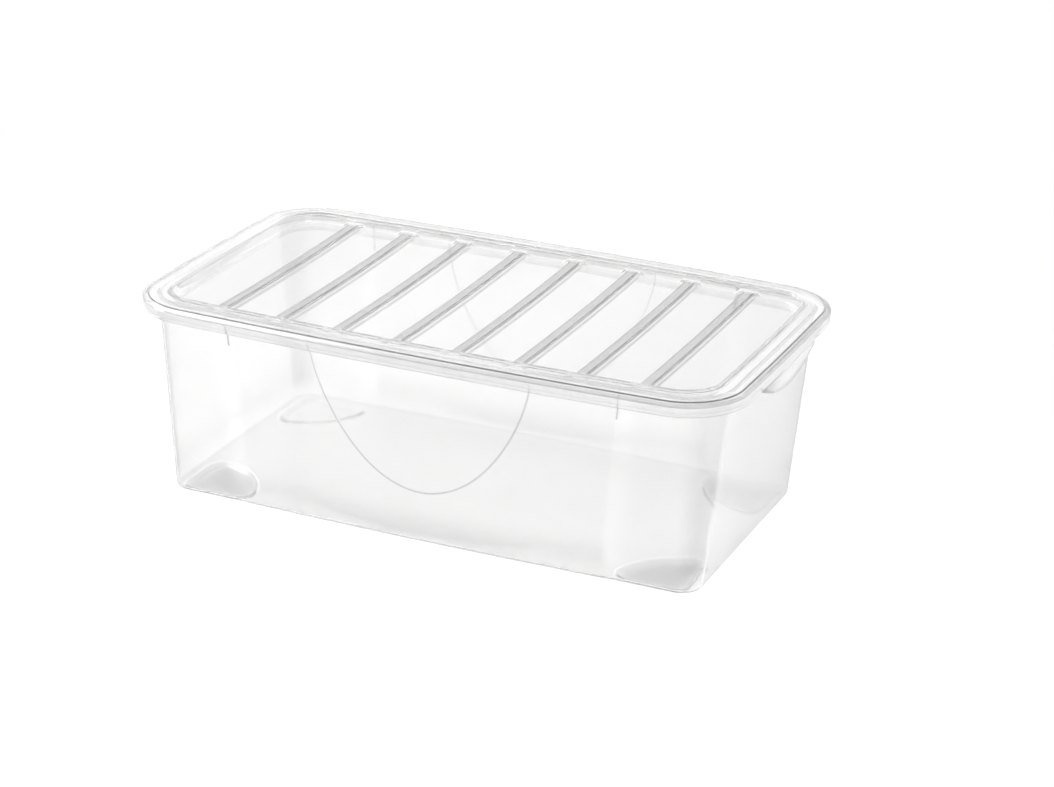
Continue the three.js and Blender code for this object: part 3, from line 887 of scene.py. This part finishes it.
def makeTub(s, material):
    low = lidLow.z / mm
    rimTop = tubHigh.z / mm
    wall = s["wall"]
    flange = rimTop - wall
    bandTop = flange - s["flangeRound"]
    bandMoon = bandTop - s["bandMoonDrop"]
    bandStep = bandTop - s["bandStepDrop"]
    bottom = s["footHeight"] + s["bottomRound"]
    ribLow = low - s["ribDrop"] - s["ribSlack"]
    rimSlope = (rimTop - low - s["lipTopRise"]) / (s["rimShelf"] - s["lipTopInset"])
    bm = bmesh.new()
    shadeLineLayer = bm.verts.layers.float.new("shadeLine")
    frostAndShadeLayer = bm.verts.layers.float.new("frostAndShade")
    grazingShadeLayer = bm.verts.layers.float.new("grazingShadeShare")

    def stationX(kind, value):
        return value if kind == "x" else plan["panelStart"]

    def moonShare(kind, value):
        return min(1, max(0, (s["moonHalf"] - stationX(kind, value)) / s["moonRun"]))

    def isRib(kind, value):
        return kind == "strip" and s["ribStart"] < value < s["ribEnd"]

    # wall ring: level runs from the half-moon's edge down, or from its step up
    def wallRing(part, share, offset, raised):
        def ring(kind, value):
            x = stationX(kind, value)
            moonZ = moonLevel(s, x, 0, bandMoon)
            stepZ = moonLevel(s, x, s["moonRun"], bandStep)
            z = mix(moonZ, bottom, share) if part == "lower" else mix(stepZ, bandTop, share)
            push = s["moonStep"] * moonShare(kind, value) if part == "upper" else 0
            spot = wallPoint(s, kind, value, z, offset + push)
            if raised and isRib(kind, value) and z > ribLow:
                up = (z - low + s["ribDrop"]) / (flange - low + s["ribDrop"])
                spot.y += mix(s["ribBottom"], s["ribTop"], up)
            return *spot, z
        return ring

    def levelRing(outlineZ, offset, z, raised=False):
        def ring(kind, value):
            push = s["moonStep"] * moonShare(kind, value) if raised else 0
            spot = wallPoint(s, kind, value, outlineZ, offset + push)
            if raised and isRib(kind, value):
                spot.y += s["ribTop"]
            return *spot, z
        return ring

    def roundRing(turn, outlineZ, radius, wallOffset):
        inset = radius * (1 - math.cos(turn))
        return levelRing(outlineZ, wallOffset - inset, outlineZ + radius * (1 - math.sin(turn)))

    def flatRing(inset, z, creaseShift=0):
        return lambda kind, value: (*borderPoint(kind, value, inset, creaseShift), z)

    def rimZ(inset):
        return rimTop + rimSlope * (inset - s["rimShelf"])

    lip = s["lipInset"]
    lipInner = lip + wall
    lipBottom = rimZ(lip) - s["lipHeight"]
    gripTop = low - s["gripGap"]

    # ring of the turned-down lip, which runs deeper and stands further out at the grips
    def lipRing(aside, gripInset, rise, gripRise, followsEdge):
        def ring(kind, value):
            y = borderPoint(kind, value, lip).y
            on = ease((s["gripHalf"] - y) / s["gripBlend"]) if kind == "end" else 0
            deep = s["gripDepth"] * max(0, 1 - (y / s["gripHalf"]) ** 2) if followsEdge else 0
            z = mix(lipBottom + rise, gripTop + gripRise - deep, on)
            return *borderPoint(kind, value, mix(lip + aside, gripInset, on)), z
        return ring

    # inner face, from the floor up to the rim
    floorTop = s["footHeight"] + s["floor"]
    turns = [math.radians(angle) for angle in s["roundTurns"]]
    rings = [roundRing(turn, floorTop, s["bottomRound"] - s["floor"], -wall) for turn in turns]
    rings += [wallRing("lower", share, -wall, False) for share in reversed(s["lowerShares"])]
    moonRows = [len(rings), len(rings) + 1]
    rings += [wallRing("lower", 0, -wall, False), wallRing("upper", 0, -wall, False)]
    rings += [wallRing("upper", share, -wall, False) for share in s["upperShares"]]

    # rim: its shelf, the lip down and up again, and the shelf's underside
    shelfFirst = len(rings)
    rings += [levelRing(rimTop, aside - wall, rimTop - drop) for aside, drop in s["rimRound"]]
    rings.append(flatRing(s["rimShelf"], rimTop))
    rings += [flatRing(lip + aside, rimZ(lip + aside)) for aside in s["shelfInsets"]]
    shelfRows = list(range(shelfFirst, len(rings)))
    rings += [flatRing(lip + aside, rimZ(lip) - drop) for aside, drop in s["lipTop"]]
    gripRows = [len(rings) + row for row in s["gripEdgeRows"]]
    rings += [lipRing(*row) for row in s["lipRows"]]
    lipUnder = rimZ(lipInner) - wall
    rings += [flatRing(lipInner + aside, lipUnder - drop) for aside, drop in s["lipInnerRound"]]
    shelfUnder = len(rings)
    shelfMiddle = s["rimShelf"] - s["shelfRun"]
    rings.append(flatRing(shelfMiddle, rimZ(shelfMiddle) - wall))
    # the shelf's innermost ring keeps the wall's crease, so the ribs meet it squarely
    creaseShift = s["endOverhang"] - s["rimShelf"] - (flange - low) * math.tan(s["endDraft"])
    rings.append(flatRing(s["rimShelf"], flange, creaseShift))
    r = s["flangeRound"]
    rings.append(levelRing(flange, r, flange, True))
    rings.append(levelRing(flange, r * s["roundMiddle"], flange - r * s["roundMiddle"], True))
    shelfRows += range(shelfUnder, len(rings))

    # outer face, down to the bottom
    outerFirst = len(rings)
    rings += [wallRing("upper", share, 0, True) for share in reversed(s["upperShares"])]
    moonRows += [len(rings), len(rings) + 1]
    rings += [wallRing("upper", 0, 0, True), wallRing("lower", 0, 0, True)]
    rings += [wallRing("lower", share, 0, True) for share in s["lowerShares"]]
    rings += [roundRing(turn, s["footHeight"], s["bottomRound"], 0) for turn in reversed(turns)]

    stations, cornerIndex = tubStations(s)
    loop = wholeLoop(stations)
    stack = stackRings(bm, loop, rings)
    # painted shade lines at the floor's crease, the half-moon's step, the grips and the ribs
    for vert in stack[s["floorLineRow"]]:
        vert[shadeLineLayer] = s["floorLine"]
    for index in moonRows:
        for vert, (station, signX, signY) in zip(stack[index], loop):
            line = s["backLine"] if signY > 0 else s["frontLine"]
            vert[shadeLineLayer] = line if moonShare(*station) > 0 else 0
    for index in gripRows:
        for vert, (station, signX, signY) in zip(stack[index], loop):
            if station[0] == "end" and abs(vert.co.y) < s["gripHalf"]:
                vert[shadeLineLayer] = s["gripLine"]
    for verts in stack[outerFirst:]:
        for vert, (station, signX, signY) in zip(verts, loop):
            if isRib(*station) and vert.co.z > ribLow:
                vert[shadeLineLayer] = s["ribLine"]

    def floorLevel(x, y):
        inside = -footDistance(s, x, y) - wall
        return floorTop - s["footHeight"] * ease(inside / s["footSlope"])

    def bottomLevel(x, y):
        return s["footHeight"] * (1 - ease(-footDistance(s, x, y) / s["footSlope"]))

    rowShares = evenShares(2 * cornerIndex)
    capShares = evenShares(s["capSteps"])
    fillRing(bm, stack[0], cornerIndex, rowShares, capShares, floorLevel)
    fillRing(bm, stack[-1], cornerIndex, rowShares, capShares, bottomLevel)
    # painted grazing shade everywhere but on the rim's shelf, set after the fills, because an extrusion
    # copies its values
    for index, verts in enumerate(stack):
        for vert in verts:
            vert[grazingShadeLayer] = 0 if index in shelfRows else 1
    wallStart = floorTop + s["floorFade"]
    for vert in bm.verts:
        x, y, z = vert.co
        vert[frostAndShadeLayer] = s["floorFrost"] * ease((wallStart - z) / s["floorFade"])
        if wallStart < z < bandTop:
            vert[frostAndShadeLayer] = wallTone(s, x, z)
    # painted shade darkens the wall's rounded corners
    for verts in stack[:shelfFirst]:
        for vert, ((kind, value), signX, signY) in zip(verts, loop):
            if kind == "arc" and vert.co.z > wallStart:
                turned = min(value / s["cornerRise"], (1 - value) / s["cornerFall"])
                vert[frostAndShadeLayer] += s["cornerShade"] * ease(turned)
    finishMesh(bm, "tub_shell", "tub", material)


makeLid(lidShape, makeClearPlastic(lidLook))
makeTub(tubShape, makeClearPlastic(tubLook, tubShape))

# stage: pale floor that turns into the white background away from the box
stageLook = {
    "size": 14,
    "gap": 0.0004,
    "paper": (0.93, 0.93, 0.93, 1),
    "fadeStart": 0.45,
    "fadeEnd": 1.3,
}


def makeFloor(s):
    bm = bmesh.new()
    bmesh.ops.create_grid(bm, x_segments=2, y_segments=2, size=s["size"])
    mesh = bpy.data.meshes.new("floor")
    bm.to_mesh(mesh)
    bm.free()
    floor = bpy.data.objects.new("floor", mesh)
    bpy.context.scene.collection.objects.link(floor)
    floor.location.z = -s["gap"]
    material = bpy.data.materials.new("paperFloor")
    material.use_nodes = True
    tree = material.node_tree
    tree.nodes.clear()
    links = tree.links
    place = tree.nodes.new("ShaderNodeTexCoord")
    reach = tree.nodes.new("ShaderNodeVectorMath")
    reach.operation = "LENGTH"
    links.new(place.outputs["Object"], reach.inputs[0])
    fade = addNode(tree, "ShaderNodeMapRange", From_Min=s["fadeStart"], From_Max=s["fadeEnd"])
    fade.interpolation_type = "SMOOTHSTEP"
    links.new(reach.outputs["Value"], fade.inputs["Value"])
    path = tree.nodes.new("ShaderNodeLightPath").outputs
    seen = mathNode(tree, "MAXIMUM", path["Is Camera Ray"], path["Is Transmission Ray"])
    seen = mathNode(tree, "MAXIMUM", seen, path["Is Glossy Ray"])
    paper = addNode(tree, "ShaderNodeBsdfDiffuse", Color=s["paper"])
    white = addNode(tree, "ShaderNodeEmission", Strength=1)
    choose = tree.nodes.new("ShaderNodeMixShader")
    output = tree.nodes.new("ShaderNodeOutputMaterial")
    links.new(mathNode(tree, "MULTIPLY", seen, fade.outputs["Result"]), choose.inputs["Fac"])
    links.new(paper.outputs["BSDF"], choose.inputs[1])
    links.new(white.outputs["Emission"], choose.inputs[2])
    links.new(choose.outputs["Shader"], output.inputs["Surface"])
    mesh.materials.append(material)


makeFloor(stageLook)

# light: a bright room whose camera side is darker, and two soft boxes
roomLook = {
    "white": (1, 1, 1, 1),
    "dark": (0.3, 0.3, 0.3, 1),
    "frontLean": -0.5,
    "darkStart": 0.08,
    "darkEnd": 0.32,
    "strength": 0.72,
    "seenStrength": 1,
    "keyPlace": (-2, 0.6, 2.2),
    "keySize": 1.5,
    "keyPower": 50,
    "fillPlace": (1.9, -1.4, 1.7),
    "fillSize": 1.2,
    "fillPower": 14,
}


def makeRoom(s):
    world = bpy.data.worlds.new("room")
    bpy.context.scene.world = world
    world.use_nodes = True
    tree = world.node_tree
    tree.nodes.clear()
    links = tree.links
    place = tree.nodes.new("ShaderNodeTexCoord")
    split = tree.nodes.new("ShaderNodeSeparateXYZ")
    links.new(place.outputs["Generated"], split.inputs[0])
    lean = mathNode(tree, "MULTIPLY_ADD", split.outputs["Y"], s["frontLean"], split.outputs["Z"])
    ramp = addNode(tree, "ShaderNodeMapRange", From_Min=s["darkStart"], From_Max=s["darkEnd"])
    ramp.interpolation_type = "SMOOTHSTEP"
    links.new(lean, ramp.inputs["Value"])
    # the plastic shows the dark side, and the paper is lit evenly
    path = tree.nodes.new("ShaderNodeLightPath").outputs
    seen = mathNode(tree, "MAXIMUM", path["Is Transmission Ray"], path["Is Glossy Ray"])
    direct = mathNode(tree, "MULTIPLY", seen, mathNode(tree, "LESS_THAN", path["Diffuse Depth"], 0.5))
    level = addNode(tree, "ShaderNodeMapRange", To_Min=s["strength"], To_Max=s["seenStrength"])
    links.new(direct, level.inputs["Value"])
    shade = mathNode(tree, "MULTIPLY", ramp.outputs["Result"], direct)
    room = tree.nodes.new("ShaderNodeBackground")
    links.new(mixColour(tree, shade, s["white"], s["dark"]), room.inputs["Color"])
    links.new(level.outputs["Result"], room.inputs["Strength"])
    white = addNode(tree, "ShaderNodeBackground", Strength=1)
    choose = tree.nodes.new("ShaderNodeMixShader")
    output = tree.nodes.new("ShaderNodeOutputWorld")
    links.new(path["Is Camera Ray"], choose.inputs["Fac"])
    links.new(room.outputs["Background"], choose.inputs[1])
    links.new(white.outputs["Background"], choose.inputs[2])
    links.new(choose.outputs["Shader"], output.inputs["Surface"])


def addSoftBox(name, place, size, power):
    light = bpy.data.lights.new(name, "AREA")
    light.energy = power
    light.size = size
    lamp = bpy.data.objects.new(name, light)
    bpy.context.scene.collection.objects.link(lamp)
    lamp.location = place
    lamp.rotation_euler = (-Vector(place)).to_track_quat("-Z", "Y").to_euler()


makeRoom(roomLook)
addSoftBox("keyBox", roomLook["keyPlace"], roomLook["keySize"], roomLook["keyPower"])
addSoftBox("fillBox", roomLook["fillPlace"], roomLook["fillSize"], roomLook["fillPower"])
print("stage and light ready")

# camera at the photograph's viewing angle
cameraView = {
    "place": (1.0462, -2.3717, 1.1393),
    "yaw": 22.93,
    "pitch": 21.81,
    "roll": 1.80,
    "lens": 100.57,
    "sensor": 36,
}


def makeCamera(s):
    camera = bpy.data.cameras.new("camera")
    camera.lens = s["lens"]
    camera.sensor_width = s["sensor"]
    viewer = bpy.data.objects.new("camera", camera)
    bpy.context.scene.collection.objects.link(viewer)
    yaw, pitch, roll = (math.radians(s[key]) for key in ("yaw", "pitch", "roll"))
    turn = Matrix.Rotation(yaw, 4, "Z")
    turn = turn @ Matrix.Rotation(math.pi / 2 - pitch, 4, "X")
    turn = turn @ Matrix.Rotation(roll, 4, "Z")
    viewer.matrix_world = Matrix.Translation(s["place"]) @ turn
    bpy.context.scene.camera = viewer


makeCamera(cameraView)

bounceLimit = 24  # light runs far inside the clear walls
scene = bpy.context.scene
scene.view_settings.view_transform = "Standard"
scene.cycles.max_bounces = bounceLimit
scene.cycles.transmission_bounces = bounceLimit
scene.cycles.glossy_bounces = bounceLimit
scene.cycles.transparent_max_bounces = 32
